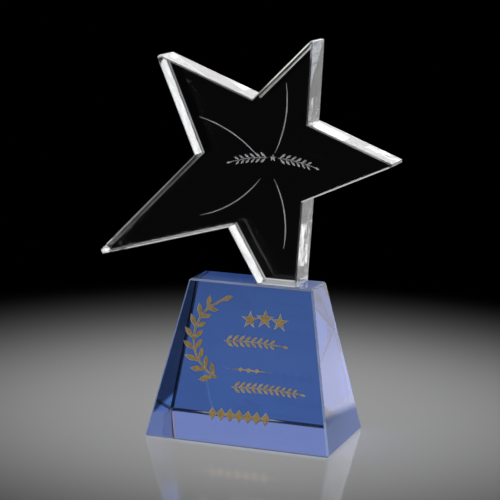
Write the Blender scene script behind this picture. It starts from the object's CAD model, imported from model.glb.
"""Looks of the crystal star award: materials, studio light, floor and camera.

A clear star plate is bonded on top of a blue block with gold-filled engraving. The award
stands on z = 0 with its front towards -Y and its left side, seen from the front, at -X.
"""

import math
from functools import reduce
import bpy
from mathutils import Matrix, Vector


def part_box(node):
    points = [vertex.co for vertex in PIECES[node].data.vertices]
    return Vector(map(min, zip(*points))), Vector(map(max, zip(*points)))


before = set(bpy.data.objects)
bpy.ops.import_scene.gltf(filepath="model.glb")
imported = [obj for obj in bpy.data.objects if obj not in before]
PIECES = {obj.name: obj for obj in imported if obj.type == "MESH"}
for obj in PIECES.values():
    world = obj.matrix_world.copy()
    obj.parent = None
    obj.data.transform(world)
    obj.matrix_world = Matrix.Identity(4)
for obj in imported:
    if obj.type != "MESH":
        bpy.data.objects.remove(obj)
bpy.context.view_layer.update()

from types import SimpleNamespace

import bpy
from mathutils import Matrix, Vector

SCENE = bpy.context.scene
MM = 0.001

PLATE_LOW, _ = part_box("star_plate")
_, BASE_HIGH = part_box("base_block")
BOND_LOW, BOND_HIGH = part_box("bond_layer")

# Camera place, angles in degrees and lens; the studio rig is laid out for this view
CAMERA_PLACE = (0.3105892, -0.8929136, 0.2783719)
CAMERA_YAW = 19.423005
CAMERA_PITCH = 11.138062
CAMERA_ROLL = 1.191583
SENSOR_WIDTH_MM = 36.0
FOCAL_LENGTH_MM = 142.00848

RIG_YAW = round(CAMERA_YAW, 3)
RIG_PITCH = round(CAMERA_PITCH, 3)


def mm(*values):
    return tuple(value * MM for value in values)


# Node helpers

FALL = (1.0, 0.0)


class Nodes:
    """Adds nodes to one material's tree and joins them. Every call adds new nodes."""

    def __init__(self, tree):
        self.tree = tree
        self.output = self.add("ShaderNodeOutputMaterial")

    def add(self, kind, inputs=None, **settings):
        node = self.tree.nodes.new(kind)
        for key, value in settings.items():
            setattr(node, key, value)
        for key, value in (inputs or {}).items():
            self.feed(node.inputs[key], value)
        return node

    def feed(self, socket, value):
        if isinstance(value, bpy.types.NodeSocket):
            self.tree.links.new(value, socket)
        else:
            socket.default_value = value

    def finish(self, shader, slot="Surface"):
        self.feed(self.output.inputs[slot], shader)

    # sources

    def geometry(self, output):
        return self.add("ShaderNodeNewGeometry").outputs[output]

    def light_path(self, output):
        return self.add("ShaderNodeLightPath").outputs[output]

    def attribute(self, name):
        return self.add("ShaderNodeAttribute", attribute_name=name).outputs["Fac"]

    def noise(self, vector, scale, detail=2.0, roughness=0.5):
        return self.add(
            "ShaderNodeTexNoise",
            {"Vector": vector, "Scale": scale, "Detail": detail, "Roughness": roughness},
        ).outputs["Fac"]

    def voronoi(self, vector, scale, output):
        return self.add(
            "ShaderNodeTexVoronoi", {"Vector": vector, "Scale": scale, "Randomness": 1.0}
        ).outputs[output]

    # arithmetic

    def math(self, operation, *values, clamp=False):
        node = self.add("ShaderNodeMath", operation=operation, use_clamp=clamp)
        for socket, value in zip(node.inputs, values):
            self.feed(socket, value)
        return node.outputs[0]

    def product(self, *values):
        return reduce(lambda a, b: self.math("MULTIPLY", a, b), values)

    def total(self, *values):
        return reduce(lambda a, b: self.math("ADD", a, b), values)

    def invert(self, value, clamp=False):
        return self.math("SUBTRACT", 1.0, value, clamp=clamp)

    def size(self, value):
        return self.math("ABSOLUTE", value)

    def degrees(self, radians):
        return self.product(radians, 180 / math.pi)

    def split(self, vector):
        return self.add("ShaderNodeSeparateXYZ", {"Vector": vector}).outputs

    def dot(self, a, b):
        return self.add(
            "ShaderNodeVectorMath", {0: a, 1: b}, operation="DOT_PRODUCT"
        ).outputs["Value"]

    # masks

    def above(self, value, limit):
        return self.math("GREATER_THAN", value, limit)

    def below(self, value, limit):
        return self.math("LESS_THAN", value, limit)

    def between(self, value, low, high):
        return self.product(self.above(value, low), self.below(value, high))

    def facing(self, component, over=0.9):
        """1 where the normal runs along an axis, either way."""
        return self.above(self.size(component), over)

    def ramp(self, value, span, to=(0.0, 1.0)):
        """A smooth step over span, from to[0] to to[1]."""
        inputs = {"Value": value, "From Min": span[0], "From Max": span[1]}
        inputs.update({"To Min": to[0], "To Max": to[1]})
        node = self.add("ShaderNodeMapRange", inputs, interpolation_type="SMOOTHSTEP")
        return node.outputs["Result"]

    def window(self, value, low, high, soft):
        """1 between low and high, fading to 0 across 2 * soft at each end."""
        rise = self.ramp(value, span=(low - soft, low + soft))
        fall = self.ramp(value, span=(high - soft, high + soft), to=FALL)
        return self.product(rise, fall)

    # colours, bumps and shaders

    def mix(self, factor, a, b):
        node = self.add("ShaderNodeMix", {0: factor, 6: a, 7: b}, data_type="RGBA")
        return node.outputs[2]

    def bump(self, height, strength, distance, **more):
        inputs = {"Height": height, "Strength": strength, "Distance": distance, **more}
        return self.add("ShaderNodeBump", inputs).outputs[0]

    def mix_shader(self, factor, a, b):
        return self.add("ShaderNodeMixShader", {0: factor, 1: a, 2: b}).outputs[0]

    def principled(self, inputs):
        return self.add("ShaderNodeBsdfPrincipled", inputs).outputs[0]

    def diffuse(self, color):
        return self.add("ShaderNodeBsdfDiffuse", {"Color": color}).outputs[0]

    def transparent(self, **inputs):
        return self.add("ShaderNodeBsdfTransparent", inputs).outputs[0]


def new_material(name):
    material = bpy.data.materials.new(name)
    material.use_nodes = True
    material.node_tree.nodes.clear()
    return material, Nodes(material.node_tree)


# Face attributes: which faces are frosted engraving and which are ground chamfers

GROOVE_DEPTH = 0.46 * MM  # deepest carved face of the plate
RECESS_DEPTH = 0.62 * MM  # deepest carved face of the block
SURFACE_SKIN = 0.02 * MM  # a carved face reaches deeper than this
CHAMFER_DEPTH = 0.5 * MM  # the plate's chamfers reach deeper than this
BLOCK_FOOT = 2 * MM  # faces reaching below this are never part of the recess

front_faces = [p for p in PIECES["base_block"].data.polygons if -0.99 < p.normal.y < -0.9]
largest_front = sorted(front_faces, key=lambda p: p.area)[-1]
FRONT_NORMAL = largest_front.normal.copy()
FRONT_POINT = PIECES["base_block"].data.vertices[largest_front.vertices[0]].co.copy()


def plate_depth(point):
    return point.y - PLATE_LOW.y


def base_depth(point):
    return -(point - FRONT_POINT).dot(FRONT_NORMAL)


def carved(depth_of, limit):
    def test(corners, normal):
        return SURFACE_SKIN < max(depth_of(p) for p in corners) < limit

    return test


def plate_chamfer(corners, normal):
    deepest = max(plate_depth(p) for p in corners)
    return 0.5 < abs(normal.y) < 0.9 and deepest > CHAMFER_DEPTH


def base_chamfer(corners, normal):
    shallow = max(base_depth(p) for p in corners) < RECESS_DEPTH
    recessed = shallow and min(p.z for p in corners) > BLOCK_FOOT
    flat = abs(normal.z) > 0.97 or abs(normal.y) > 0.96 or abs(normal.x) > 0.96
    return not (recessed or flat)


def mark_faces(piece, name, test):
    """A face attribute that is 1 where test(corners, normal) holds."""
    mesh = PIECES[piece].data
    attribute = mesh.attributes.new(name, "FLOAT", "FACE")
    for polygon in mesh.polygons:
        corners = [mesh.vertices[i].co for i in polygon.vertices]
        holds = test(corners, polygon.normal)
        attribute.data[polygon.index].value = 1.0 if holds else 0.0


mark_faces("star_plate", "frosted", carved(plate_depth, GROOVE_DEPTH))
mark_faces("star_plate", "ground", plate_chamfer)
mark_faces("base_block", "frosted", carved(base_depth, RECESS_DEPTH))
mark_faces("base_block", "ground", base_chamfer)


# Crystal

CRYSTAL_IOR = 1.52
BOND_INSET = 0.15 * MM  # bonded faces stop this far inside the film's edge
BOND_REACH = 0.02 * MM  # and lie within this of the film's levels


def bonded_area(nodes, at):
    """1 on the bonded faces between the plate's foot and the block's top."""
    return nodes.product(
        nodes.between(at.x, BOND_LOW.x + BOND_INSET, BOND_HIGH.x - BOND_INSET),
        nodes.between(at.y, BOND_LOW.y + BOND_INSET, BOND_HIGH.y - BOND_INSET),
        nodes.between(at.z, BASE_HIGH.z - BOND_REACH, PLATE_LOW.z + BOND_REACH),
    )


def crystal_finish(nodes, at, tint, haze):
    """Colour, roughness and bump: polished, with ground chamfers and frosted carving."""
    # faint streaks left by the felt wheel run upright; the waves are slow and shallow
    streak_space = nodes.add(
        "ShaderNodeMapping", {"Vector": at.where, "Scale": (1.0, 1.0, 0.16)}
    ).outputs[0]
    streaks = nodes.noise(streak_space, scale=900.0, detail=4.0, roughness=0.6)
    waves = nodes.noise(at.where, scale=60.0, detail=1.0)
    grit = nodes.noise(at.where, scale=5200.0, roughness=0.7)

    polish = nodes.ramp(streaks, span=(0.45, 0.8), to=(0.0, haze))
    ground = nodes.product(at.ground, nodes.ramp(grit, span=(0.3, 0.7), to=(0.05, 0.22)))
    frost = nodes.product(at.frosted, nodes.ramp(grit, span=(0.3, 0.7), to=(0.45, 0.7)))
    roughness = nodes.math("MAXIMUM", polish, nodes.math("MAXIMUM", ground, frost))

    grittiness = nodes.total(at.frosted, nodes.product(at.ground, 0.3))
    height = nodes.total(nodes.product(waves, 0.3), nodes.product(grit, grittiness))
    bump = nodes.bump(height, strength=0.12, distance=0.02 * MM)

    deeper = [channel * 0.94 for channel in tint]
    color = nodes.mix(waves, (*deeper, 1.0), (*tint, 1.0))
    frost_white = (0.93, 0.94, 0.96, 1.0)
    return nodes.mix(at.frosted, color, frost_white), roughness, bump


def block_tones(nodes, at, color):
    """The block's paler areas: its colour, and how much transmission they lose."""
    # the foot of the front face reads paler, and so do the ground edges
    low_front = nodes.product(
        nodes.facing(at.ny),
        nodes.ramp(at.z, span=mm(13.2, 14.6), to=FALL),
        nodes.below(at.y, 0.0),
        nodes.ramp(at.x, span=mm(-38.5, -37.0)),
    )
    color = nodes.mix(low_front, color, (0.44, 0.36, 0.60, 1.0))
    color = nodes.mix(at.ground, color, (0.62, 0.68, 0.95, 1.0))
    # the foot of the right wall, and the lower left corner, are slightly hazed
    low_right = nodes.product(
        nodes.facing(at.nx),
        nodes.above(at.x, 30.0 * MM),
        nodes.ramp(at.z, span=mm(12.0, 24.0), to=FALL),
    )
    low_left = nodes.product(
        nodes.below(at.y, 0.0),
        nodes.ramp(at.x, span=mm(-38.5, -37.5), to=FALL),
        nodes.ramp(at.z, span=mm(11.0, 14.0), to=FALL),
        nodes.facing(at.ny),
    )
    color = nodes.mix(low_right, color, (0.38, 0.50, 1.0, 1.0))
    color = nodes.mix(nodes.product(low_left, 0.5), color, (0.6, 0.6, 0.9, 1.0))
    # the front of the top reads a little paler from outside
    top_front = nodes.product(
        nodes.above(at.z, BASE_HIGH.z - 0.1 * MM),
        nodes.ramp(at.y, span=mm(-6.0, 4.0), to=FALL),
        nodes.invert(nodes.geometry("Backfacing")),
    )
    color = nodes.mix(nodes.product(top_front, 0.3), color, (0.6, 0.75, 1.0, 1.0))
    clouding = nodes.total(
        nodes.product(low_right, 0.9),
        nodes.total(nodes.product(low_left, 0.4), nodes.product(top_front, 0.25)),
    )
    return color, clouding


def plate_walls(nodes, at, bump):
    """The plate's cut edge walls: lost transmission, bump, and outward normal x."""
    wall_limit = 0.3  # walls have |normal y| below this
    # a blotchy trace of grinding stays under the polish, stronger on the left walls
    # where they are seen at a slant
    uneven = nodes.noise(at.where, scale=170.0, detail=5.0, roughness=0.65)
    blotch = nodes.product(
        nodes.ramp(uneven, span=(0.47, 0.60), to=(0.0, 0.14)),
        nodes.below(nodes.size(at.ny), wall_limit),
    )
    inside = nodes.geometry("Backfacing")
    outward_x = nodes.product(at.nx, nodes.invert(nodes.product(inside, 2.0)))
    slant = nodes.dot(nodes.geometry("Incoming"), at.normal)
    left_wall = nodes.product(
        nodes.below(outward_x, -0.8),
        nodes.ramp(nodes.size(slant), span=(0.38, 0.5), to=FALL),
    )
    left_blotch = nodes.ramp(uneven, span=(0.40, 0.62), to=(0.30, 0.46))
    blotch = nodes.total(blotch, nodes.product(left_wall, left_blotch))
    clouding = nodes.product(blotch, nodes.invert(at.frosted))
    # the walls are not quite flat: shallow hollows as big as a fingertip and smaller
    hollows = nodes.total(
        nodes.noise(at.where, scale=130.0, detail=1.0),
        nodes.product(nodes.noise(at.where, scale=420.0), 0.22),
    )
    on_walls = nodes.product(nodes.below(nodes.size(at.ny), wall_limit), 0.6)
    bump = nodes.bump(hollows, strength=on_walls, distance=0.2 * MM, Normal=bump)
    return clouding, bump, outward_x


def plate_inner_faces(nodes, at, surface, backfacing, incoming, outward_x):
    """Replaces the surface of a few of the plate's walls where seen from inside."""
    # light that leaves the lower left arm straight through its lower wall scatters
    # there instead of picking up the block below
    square = nodes.size(nodes.dot(incoming, at.normal))
    lower_wall = nodes.product(
        nodes.facing(at.nz, over=0.93),
        nodes.below(at.x, -8.0 * MM),
        nodes.product(backfacing, nodes.below(at.z, 108.0 * MM)),
        nodes.ramp(square, span=(0.45, 0.6)),
    )
    pale = nodes.diffuse((0.97, 0.98, 1.0, 1.0))
    surface = nodes.mix_shader(lower_wall, surface, pale)
    # the mirror image of the upper left wall in the plate's back is all but lost
    _, incoming_y, _ = nodes.split(incoming)
    bounce = nodes.light_path("Ray Depth")
    mirrored = nodes.product(
        nodes.below(outward_x, -0.5),
        nodes.product(backfacing, nodes.above(incoming_y, 0.0)),
        nodes.product(
            nodes.math("COMPARE", bounce, 2.0, 0.5), nodes.above(at.z, 136.0 * MM)
        ),
    )
    dim = nodes.diffuse((0.12, 0.12, 0.12, 1.0))
    return nodes.mix_shader(mirrored, surface, dim)


def block_inner_faces(nodes, at, surface, backfacing, incoming):
    """Seen from inside, the left wall mirrors the dark side of the studio."""
    dark = nodes.diffuse((0.0, 0.0, 0.0, 1.0))
    first_bounce = nodes.below(nodes.light_path("Ray Depth"), 1.5)
    incoming_x, _, _ = nodes.split(incoming)
    shallow = nodes.below(nodes.size(incoming_x), 0.36)
    wall = nodes.product(
        nodes.below(at.x, -28.0 * MM),
        nodes.facing(at.nx),
        nodes.ramp(at.z, span=mm(8.0, 12.0)),
        backfacing,
        nodes.product(first_bounce, shallow),
        0.8,
    )
    return nodes.mix_shader(wall, surface, dark)


def crystal(name, tint, haze, shade=(1.0, 1.0, 1.0), block=False):
    """Polished optical crystal. Shade tints the light it lets through as shadow."""
    material, nodes = new_material(name)
    at = SimpleNamespace(where=nodes.geometry("Position"))
    at.x, at.y, at.z = nodes.split(at.where)
    at.frosted = nodes.attribute("frosted")
    at.ground = nodes.attribute("ground")
    at.normal = nodes.geometry("True Normal")
    at.nx, at.ny, at.nz = nodes.split(at.normal)

    color, roughness, bump = crystal_finish(nodes, at, tint, haze)
    if block:
        color, clouding = block_tones(nodes, at, color)
    else:
        clouding, bump, outward_x = plate_walls(nodes, at, bump)
    opaque = nodes.total(
        nodes.product(at.frosted, 0.88),
        nodes.total(nodes.product(at.ground, 0.45 if block else 0.2), clouding),
    )
    surface = nodes.principled(
        {
            "Base Color": color,
            "Roughness": roughness,
            "IOR": CRYSTAL_IOR,
            "Transmission Weight": nodes.invert(opaque, clamp=True),
            "Normal": bump,
        }
    )

    backfacing = nodes.geometry("Backfacing")
    incoming = nodes.geometry("Incoming")
    if block:
        surface = block_inner_faces(nodes, at, surface, backfacing, incoming)
    else:
        surface = plate_inner_faces(nodes, at, surface, backfacing, incoming, outward_x)

    # bonded faces and shadow rays pass straight through
    shadow = nodes.light_path("Is Shadow Ray")
    tinted = nodes.mix(shadow, (1.0, 1.0, 1.0, 1.0), (*shade, 1.0))
    clear = nodes.transparent(Color=tinted)
    through = nodes.math("MAXIMUM", bonded_area(nodes, at), shadow)
    nodes.finish(nodes.mix_shader(through, surface, clear))
    return material, nodes


def blue_block_crystal():
    material, nodes = crystal(
        "blue_crystal",
        tint=(0.147, 0.302, 0.87),
        haze=0.014,
        shade=(0.97, 0.98, 1.0),
        block=True,
    )
    density = 3.0
    absorbed_per_metre = (2.2, 1.5, 0.4)
    passed = [1.0 - share / density for share in absorbed_per_metre]
    volume = nodes.add(
        "ShaderNodeVolumeAbsorption", {"Color": (*passed, 1.0), "Density": density}
    )
    nodes.finish(volume.outputs[0], "Volume")
    return material


# Adhesive and gold paint


def adhesive():
    """Cured film: milky to the eye, clear to shadow rays, with pin-point bubbles."""
    material, nodes = new_material("adhesive")
    where = nodes.geometry("Position")
    cells = nodes.voronoi(where, scale=420.0, output="Distance")
    bubbles = nodes.ramp(cells, span=(0.05, 0.11), to=(0.2, 0.0))
    cloud = nodes.noise(where, scale=240.0, detail=3.0)
    cloud = nodes.ramp(cloud, span=(0.35, 0.7), to=(0.8, 0.93))
    film = nodes.principled(
        {"Base Color": (0.92, 0.95, 0.98, 1.0), "Roughness": 0.25, "IOR": 1.5}
    )
    amount = nodes.product(
        nodes.math("ADD", bubbles, cloud, clamp=True),
        nodes.invert(nodes.light_path("Is Shadow Ray")),
    )
    nodes.finish(nodes.mix_shader(amount, nodes.transparent(), film))
    return material


def gold(name, thin):
    """Metallic paint in the recesses: fine flake, brushed-on thickness, grit. Thin is
    how much pale frost shows through where the coat is worn."""
    material, nodes = new_material(name)
    where = nodes.geometry("Position")
    flake = nodes.voronoi(where, scale=6500.0, output="Color")
    flake_tone = nodes.add("ShaderNodeSeparateColor", {"Color": flake}).outputs[0]
    coat = nodes.noise(where, scale=700.0, detail=4.0, roughness=0.6)
    tone = nodes.total(nodes.product(flake_tone, 0.55), nodes.product(coat, 0.45))
    dark_gold = (0.55, 0.28, 0.045, 1.0)
    bright_gold = (1.0, 0.73, 0.235, 1.0)
    color = nodes.mix(nodes.ramp(tone, span=(0.15, 0.85)), dark_gold, bright_gold)
    # the paint thins to a pale, matt line up the sides of each fill
    facing = nodes.dot(nodes.geometry("True Normal"), tuple(FRONT_NORMAL))
    side = nodes.ramp(nodes.size(facing), span=(0.4, 0.6), to=FALL)
    wear = nodes.noise(where, scale=1500.0, detail=3.0, roughness=0.6)
    worn = nodes.ramp(wear, span=(0.36, 0.56), to=(0.0, thin))
    pale = nodes.math("MAXIMUM", side, worn)
    paint = nodes.principled(
        {
            "Base Color": nodes.mix(pale, color, (0.93, 0.88, 0.84, 1.0)),
            "Metallic": nodes.product(nodes.invert(pale), 0.9),
            "Roughness": nodes.ramp(coat, span=(0.3, 0.7), to=(0.34, 0.5)),
            "Normal": nodes.bump(tone, strength=0.5, distance=0.05 * MM),
        }
    )
    nodes.finish(paint)
    return material


def assign(piece, material):
    mesh = PIECES[piece].data
    mesh.materials.clear()
    mesh.materials.append(material)


clear_crystal, _ = crystal("clear_crystal", tint=(0.985, 0.992, 1.0), haze=0.012)
blue_crystal = blue_block_crystal()
gold_fill = gold("gold_fill", thin=0.12)
fine_gold_fill = gold("fine_gold_fill", thin=0.55)
adhesive_film = adhesive()

assign("star_plate", clear_crystal)
assign("base_block", blue_crystal)
assign("bond_layer", adhesive_film)
for part in ("laurel", "star", "border"):
    names = [f"star_fill_{side}" for side in ("left", "middle", "right")]
    for fill in names if part == "star" else [f"{part}_fill"]:
        assign(fill, gold_fill)
for level in ("upper", "middle", "lower"):
    assign(f"{level}_rule_fill", fine_gold_fill)


# Floor

FLOOR_RADIUS = 4.0
FLOOR_DROP = 0.1 * MM
FLOOR_CORNERS = 96


def pale_floor():
    """A pale satin sheet."""
    material, nodes = new_material("pale_floor")
    fine = nodes.noise(nodes.geometry("Position"), scale=900.0, detail=3.0)
    color = nodes.mix(fine, (0.76, 0.77, 0.79, 1.0), (0.80, 0.81, 0.83, 1.0))
    surface = nodes.principled(
        {
            "Base Color": color,
            "Roughness": nodes.ramp(fine, span=(0.3, 0.7), to=(0.07, 0.10)),
            "Specular IOR Level": 0.4,
        }
    )
    nodes.finish(surface)
    return material


def floor():
    turns = [2 * math.pi * k / FLOOR_CORNERS for k in range(FLOOR_CORNERS)]
    verts = [
        (FLOOR_RADIUS * math.cos(turn), FLOOR_RADIUS * math.sin(turn), -FLOOR_DROP)
        for turn in turns
    ]
    mesh = bpy.data.meshes.new("floor")
    mesh.from_pydata(verts, [], [list(range(FLOOR_CORNERS))])
    obj = bpy.data.objects.new("floor", mesh)
    SCENE.collection.objects.link(obj)
    mesh.materials.append(pale_floor())
    return obj


FLOOR = floor()


# Lamps


def receivers(name, objects):
    group = bpy.data.collections.new(name)
    for obj in objects:
        group.objects.link(obj)
    return group


AWARD_ONLY = receivers("lit_award", PIECES.values())
FLOOR_ONLY = receivers("lit_floor", [FLOOR])
BOND_ONLY = receivers("lit_bond", [PIECES["bond_layer"]])


def lamp(name, kind, place, energy, color, soft_size, lights):
    """A lamp that lights one group of objects and is not seen itself."""
    data = bpy.data.lights.new(name, kind)
    data.energy = energy
    data.color = color
    data.shadow_soft_size = soft_size
    obj = bpy.data.objects.new(name, data)
    SCENE.collection.objects.link(obj)
    obj.location = place
    obj.visible_camera = False
    obj.visible_glossy = False
    obj.visible_transmission = False
    obj.light_linking.receiver_collection = lights
    return obj


def pool_light():
    """A soft spot from above that lights the floor round the award."""
    height = 1.1
    pool_radius = 0.25
    place = (-0.03, 0.07, height)
    target = (-0.01, 0.048, 0.0)
    obj = lamp(
        "overhead_pool",
        "SPOT",
        place,
        energy=25.0,
        color=(1.0, 0.99, 0.97),
        soft_size=0.08,
        lights=FLOOR_ONLY,
    )
    obj.data.spot_size = 2 * math.atan(pool_radius / height)
    obj.data.spot_blend = 1.0
    obj.rotation_mode = "QUATERNION"
    obj.rotation_quaternion = (Vector(target) - Vector(place)).to_track_quat("-Z", "Y")


pool_light()

# keeps the milky film under the star's foot bright
lamp(
    "bond_lamp",
    "POINT",
    (0.0, -0.18, 0.48),
    energy=2.3,
    color=(0.94, 0.97, 1.0),
    soft_size=0.03,
    lights=BOND_ONLY,
)


# Glowing cards and softboxes. They turn with the camera as if the award stood on a
# turntable. Azimuths are in degrees: from the main camera, 0 is straight behind the award
# (+Y) and +90 is to its right (+X).


def camera_forward(nodes):
    forward = nodes.add(
        "ShaderNodeVectorTransform",
        {"Vector": (0.0, 0.0, 1.0)},
        vector_type="VECTOR",
        convert_from="CAMERA",
        convert_to="WORLD",
    ).outputs[0]
    return nodes.split(forward)


def turned_from_view(nodes, x, y):
    """Azimuth of a direction in the turning rig."""
    forward_x, forward_y, _ = camera_forward(nodes)
    view = nodes.math("ARCTAN2", forward_x, forward_y)
    azimuth = nodes.math("SUBTRACT", nodes.math("ARCTAN2", x, y), view)
    return nodes.math("SUBTRACT", nodes.degrees(azimuth), RIG_YAW)


def away_from_main_view(nodes):
    """0 within 5 degrees of the main camera's azimuth, 1 from 20 degrees off it."""
    forward_x, forward_y, _ = camera_forward(nodes)
    view = nodes.degrees(nodes.math("ARCTAN2", forward_x, forward_y))
    return nodes.ramp(nodes.size(nodes.total(view, RIG_YAW)), span=(5.0, 20.0))


def rear_lift(nodes):
    """How far the boxes behind the award ride up, in degrees, for a camera that looks
    down more steeply than the main one, and down for one nearer the level."""
    _, _, forward_z = camera_forward(nodes)
    steep = nodes.product(nodes.math("ARCSINE", forward_z), -180 / math.pi)
    lift = nodes.product(nodes.math("SUBTRACT", steep, RIG_PITCH), 1.15)
    lowest, highest = -10.0, 22.0
    return nodes.math("MINIMUM", nodes.math("MAXIMUM", lift, lowest), highest)


def band(nodes, azimuth, left, right, soft):
    """1 where the azimuth lies between left and right, across the wrap at 180."""
    middle, half = (left + right) / 2, (right - left) / 2
    offset = nodes.math("SUBTRACT", azimuth, middle)
    turned = nodes.math("WRAP", offset, 180.0, -180.0)
    return nodes.window(turned, -half, half, soft)


def ray_direction(nodes):
    """The ray's x and y, and its elevation in degrees."""
    back = nodes.split(nodes.geometry("Incoming"))
    x, y, z = (nodes.product(value, -1.0) for value in back)
    return x, y, nodes.degrees(nodes.math("ARCSINE", z))


def shell_mesh(name, rings, columns):
    """A wall of quads through level rings, each given as (radius, z)."""
    turns = [2 * math.pi * k / columns for k in range(columns)]
    verts = [
        (radius * math.sin(turn), radius * math.cos(turn), z)
        for radius, z in rings
        for turn in turns
    ]
    faces = []
    for i in range(len(rings) - 1):
        for k in range(columns):
            a, b = i * columns + k, i * columns + (k + 1) % columns
            faces.append((a, b, b + columns, a + columns))
    mesh = bpy.data.meshes.new(name)
    mesh.from_pydata(verts, [], faces)
    return mesh


def glowing(name, mesh, material):
    """A light source that only the award sees."""
    mesh.materials.append(material)
    obj = bpy.data.objects.new(name, mesh)
    SCENE.collection.objects.link(obj)
    obj.visible_camera = False
    obj.visible_shadow = False
    obj.light_linking.receiver_collection = AWARD_ONLY


def ring_card(
    name, radius, height, azimuths, foot, strength, fade=0.0, color=(1.0, 1.0, 1.0)
):
    """An upright curved card standing on the floor. It glows for rays that run downhill
    onto it and is clear for the rest. The glow rises over the heights in foot and loses
    the share in fade higher up."""
    mesh = shell_mesh(name, rings=[(radius, 0.0004), (radius, height)], columns=96)
    material, nodes = new_material(name)
    x, y, z = nodes.split(nodes.geometry("Position"))
    ray_x, ray_y, elevation = ray_direction(nodes)
    along = nodes.total(nodes.product(x, ray_x), nodes.product(y, ray_y))
    outward = nodes.above(along, 0.0)
    share = nodes.product(
        band(nodes, turned_from_view(nodes, x, y), *azimuths, soft=1.0),
        nodes.product(nodes.ramp(elevation, span=(0.0, 3.0), to=FALL), outward),
        nodes.ramp(z, span=foot),
        nodes.ramp(z, span=(height * 0.35, height * 0.7), to=(1.0, 1.0 - fade)),
        nodes.ramp(z, span=(height * 0.97, height), to=FALL),
    )
    glow = nodes.add(
        "ShaderNodeEmission", {"Color": (*color, 1.0), "Strength": strength}
    ).outputs[0]
    nodes.finish(nodes.mix_shader(share, nodes.transparent(), glow))
    glowing(name, mesh, material)


# name, radius, height, azimuth range, foot heights, strength, then fade and colour
RING_CARDS = (
    ("near_card", 0.115, 0.070, (30.0, 54.0), (0.0, 0.006), 1.95, 0.5, (1.0, 0.93, 1.0)),
    ("far_card", 0.250, 0.210, (4.0, 40.0), (0.0, 0.010), 1.05),
    ("corner_card", 0.086, 0.014, (58.0, 88.0), (0.0, 0.001), 0.6),
    ("front_card", 0.260, 0.240, (120.0, 240.0), (0.0, 0.010), 0.032),
)
for card in RING_CARDS:
    ring_card(*card)

# azimuth range, elevation range, soft edge, strength, share of the rear lift it follows
SOFTBOXES = (
    ((14.0, 26.0), (-1.0, 20.0), 1.0, 0.9, 1.0),
    ((4.0, 36.0), (-1.0, 26.0), 1.5, 0.5, 1.0),
    ((-14.0, 8.0), (15.3, 24.0), 0.8, 1.6, 1.0),
    ((-17.8, 8.0), (9.5, 15.0), 0.7, 0.45, 0.5),
    ((-62.0, 8.0), (14.2, 62.0), 1.4, 0.75, 1.0),
    ((168.0, 190.0), (-20.0, 24.0), 2.0, 1.0, 0.0),
    ((48.0, 96.0), (24.0, 56.0), 4.0, 0.62, 0.0),
    ((-168.0, -128.0), (26.0, 58.0), 4.0, 0.48, 0.0),
    ((-112.0, -70.0), (24.0, 58.0), 4.0, 0.7, 0.0),
    ((106.0, 146.0), (4.0, 30.0), 3.0, 0.6, 0.0),
    ((146.0, 184.0), (36.0, 66.0), 4.0, 2.2, 0.0),
)
# strengths of the glow overhead, the haze in front and the fill for other views
OVERHEAD = 0.6
FRONT_HAZE = 0.03
SIDE_FILL = 0.32

DOME_RADIUS = 3.0
DOME_CENTRE_Z = 0.1
DOME_ROWS = 24
DOME_COLUMNS = 48


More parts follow.
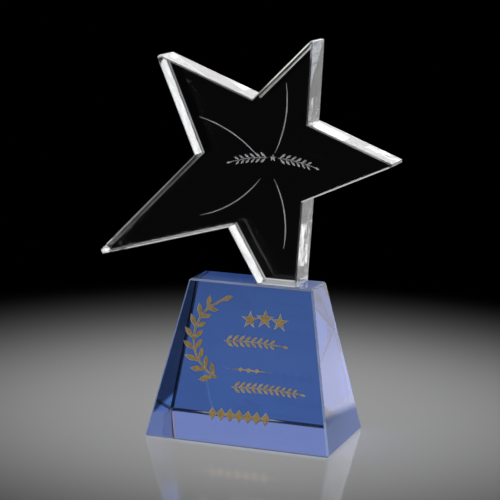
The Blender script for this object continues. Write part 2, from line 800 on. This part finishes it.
def dome_light():
    material, nodes = new_material("softboxes")
    x, y, elevation = ray_direction(nodes)
    azimuth = turned_from_view(nodes, x, y)
    overhead = nodes.ramp(elevation, span=(58.0, 70.0), to=(0.0, OVERHEAD))
    haze = nodes.product(band(nodes, azimuth, 100.0, 260.0, soft=20.0), FRONT_HAZE)
    fill = nodes.product(
        away_from_main_view(nodes),
        nodes.ramp(elevation, span=(4.0, 26.0)),
        band(nodes, azimuth, 24.0, 336.0, soft=14.0),
        SIDE_FILL,
    )
    glow = nodes.total(overhead, haze, fill)
    lift = rear_lift(nodes)
    lowered = {
        0.0: elevation,
        0.5: nodes.math("SUBTRACT", elevation, nodes.product(lift, 0.5)),
        1.0: nodes.math("SUBTRACT", elevation, lift),
    }
    for azimuths, elevations, soft, strength, follow in SOFTBOXES:
        box = nodes.product(
            band(nodes, azimuth, *azimuths, soft),
            nodes.window(lowered[follow], *elevations, soft),
            strength,
        )
        glow = nodes.total(glow, box)
    nodes.finish(nodes.add("ShaderNodeEmission", {"Strength": glow}).outputs[0])
    return material


def dome():
    """A shell of softboxes round the award, far enough off to count as directions."""
    rings = []
    for i in range(DOME_ROWS + 1):
        lift = math.radians(-30.0 + 120.0 * i / DOME_ROWS)
        z = DOME_RADIUS * math.sin(lift) + DOME_CENTRE_Z
        rings.append((DOME_RADIUS * math.cos(lift), z))
    mesh = shell_mesh("softboxes", rings, DOME_COLUMNS)
    glowing("softboxes", mesh, dome_light())


dome()


# World and render settings

WORLD = bpy.data.worlds.new("dark_studio")
WORLD.use_nodes = True
WORLD.node_tree.nodes["Background"].inputs["Color"].default_value = (0, 0, 0, 1)
SCENE.world = WORLD

SCENE.view_settings.view_transform = "Standard"
SCENE.cycles.max_bounces = 32
SCENE.cycles.transmission_bounces = 32
SCENE.cycles.glossy_bounces = 32
SCENE.cycles.transparent_max_bounces = 32
SCENE.cycles.caustics_refractive = False
SCENE.cycles.caustics_reflective = False


def camera():
    """A long lens in front of the award, to its right and a little above."""
    yaw, pitch, roll = map(math.radians, (CAMERA_YAW, CAMERA_PITCH, CAMERA_ROLL))
    forward = Vector(
        (
            -math.sin(yaw) * math.cos(pitch),
            math.cos(yaw) * math.cos(pitch),
            -math.sin(pitch),
        )
    )
    level = Vector((math.cos(yaw), math.sin(yaw), 0.0))
    upright = level.cross(forward)
    right = math.cos(roll) * level + math.sin(roll) * upright
    up = -math.sin(roll) * level + math.cos(roll) * upright
    data = bpy.data.cameras.new("photo_angle")
    data.sensor_width = SENSOR_WIDTH_MM
    data.lens = FOCAL_LENGTH_MM
    obj = bpy.data.objects.new("photo_angle", data)
    SCENE.collection.objects.link(obj)
    matrix = Matrix((right, up, -forward)).transposed().to_4x4()
    matrix.translation = Vector(CAMERA_PLACE)
    obj.matrix_world = matrix
    SCENE.camera = obj


camera()
